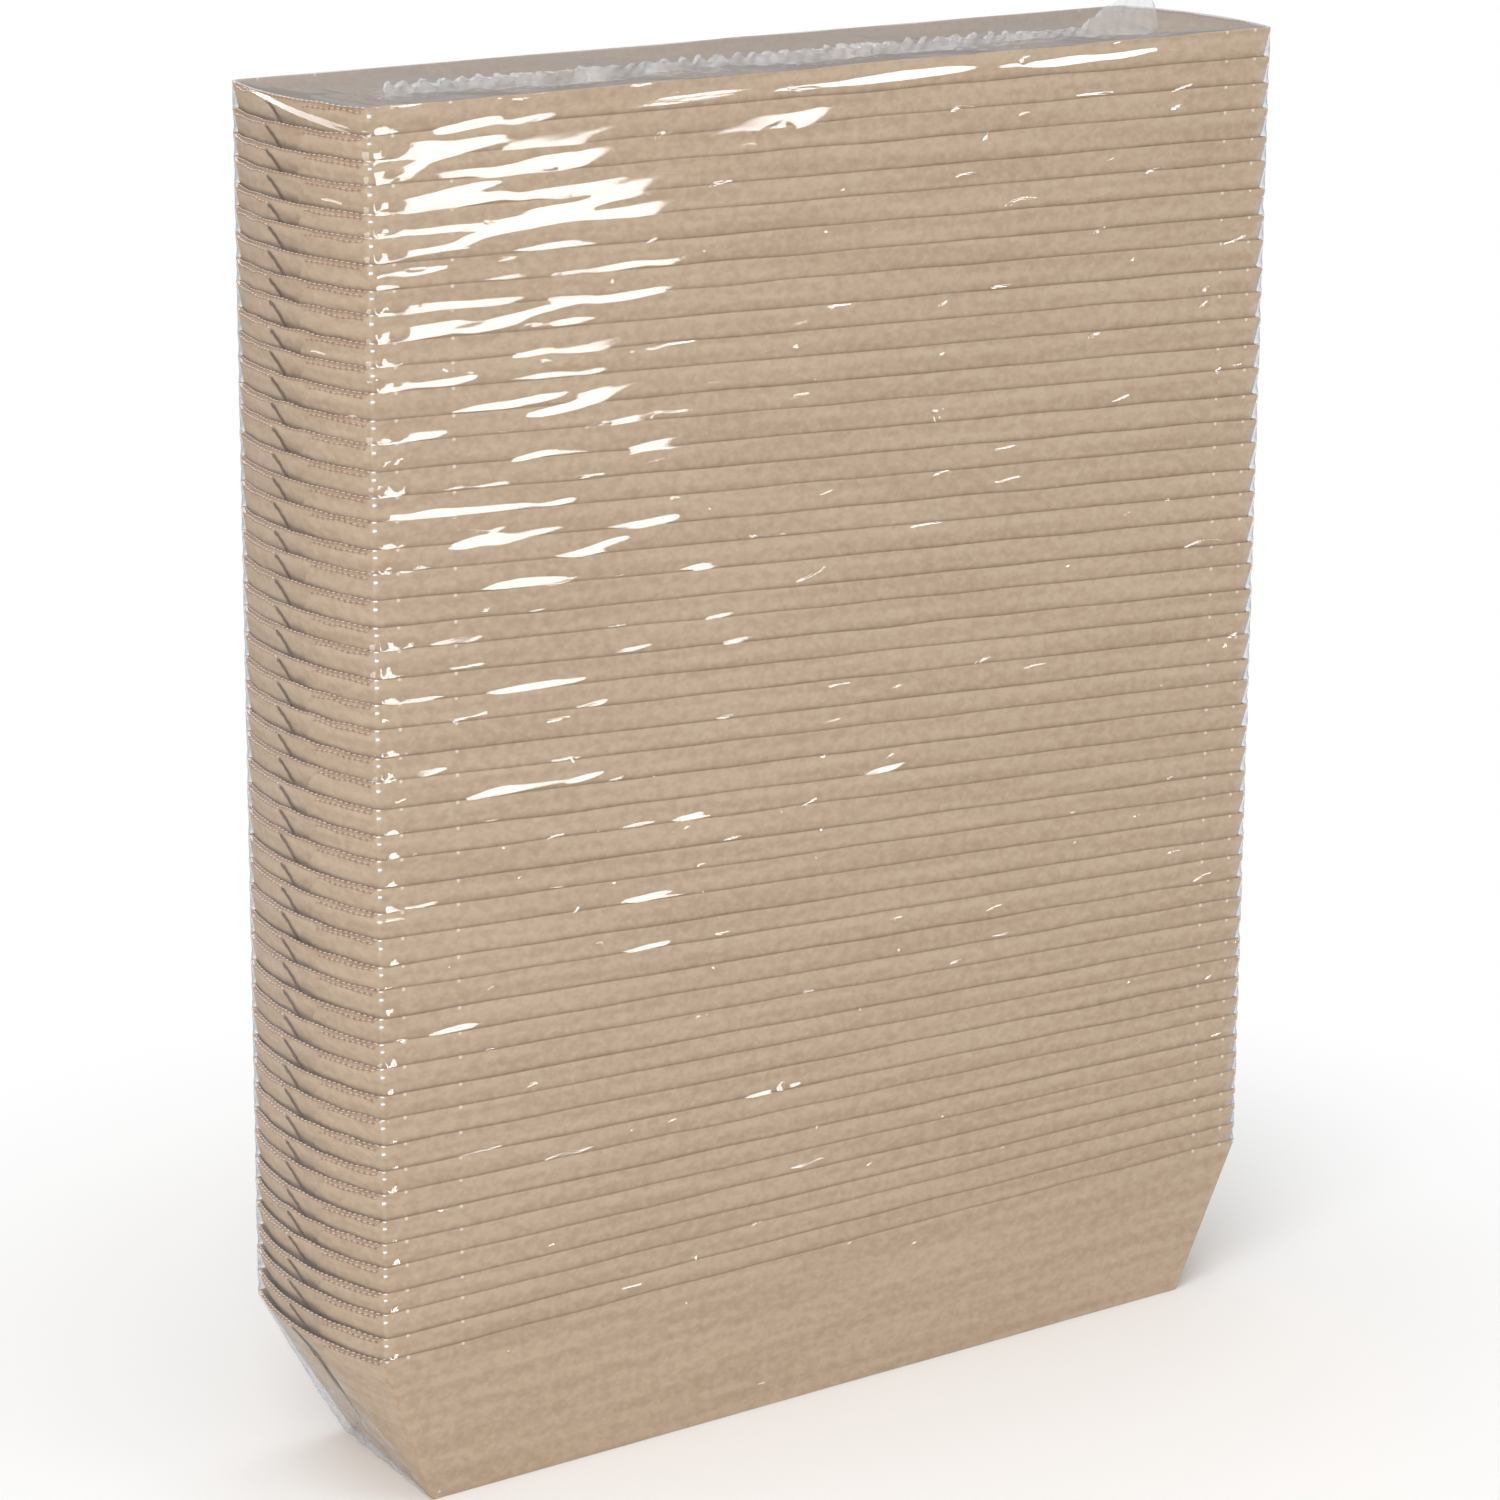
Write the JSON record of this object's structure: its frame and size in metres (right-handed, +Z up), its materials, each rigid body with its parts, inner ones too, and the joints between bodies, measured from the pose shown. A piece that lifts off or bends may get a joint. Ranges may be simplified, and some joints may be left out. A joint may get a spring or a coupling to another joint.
{
  "type": "stack of snack trays",
  "caption": "Tall stack of nested kraft paperboard snack trays with bowed, flap-wrapped ends, held in a clear shrink-film hood with a welded top seal.",
  "frame": {"origin": "under the middle of the stack, on the surface it stands on", "axes": "+Z up the stack, X along the trays' long sides, +Y across the trays towards the back of the pictured view"},
  "size_m": [0.2082, 0.0436, 0.2569],
  "materials": {
    "kraft_board": "uncoated brown kraft board, matte, with faint fibre streaks along the trays",
    "clear_film": "thin clear shrink film, glossy, slightly wrinkled"
  },
  "bodies": {
    "root": {"tray_01": "kraft_board", "tray_02": "kraft_board", "tray_03": "kraft_board", "tray_04": "kraft_board", "tray_05": "kraft_board", "tray_06": "kraft_board", "tray_07": "kraft_board", "tray_08": "kraft_board", "tray_09": "kraft_board", "tray_10": "kraft_board", "tray_11": "kraft_board", "tray_12": "kraft_board", "tray_13": "kraft_board", "tray_14": "kraft_board", "tray_15": "kraft_board", "tray_16": "kraft_board", "tray_17": "kraft_board", "tray_18": "kraft_board", "tray_19": "kraft_board", "tray_20": "kraft_board", "tray_21": "kraft_board", "tray_22": "kraft_board", "tray_23": "kraft_board", "tray_24": "kraft_board", "tray_25": "kraft_board", "tray_26": "kraft_board", "tray_27": "kraft_board", "tray_28": "kraft_board", "tray_29": "kraft_board", "tray_30": "kraft_board", "tray_31": "kraft_board", "tray_32": "kraft_board", "tray_33": "kraft_board", "tray_34": "kraft_board", "tray_35": "kraft_board", "tray_36": "kraft_board", "tray_37": "kraft_board", "tray_38": "kraft_board", "tray_39": "kraft_board", "tray_40": "kraft_board", "tray_41": "kraft_board", "tray_42": "kraft_board", "tray_43": "kraft_board", "tray_44": "kraft_board", "tray_45": "kraft_board", "tray_46": "kraft_board", "tray_47": "kraft_board", "tray_48": "kraft_board", "tray_49": "kraft_board", "tray_50": "kraft_board", "shrink_film": "clear_film"}
  },
  "joints": []
}
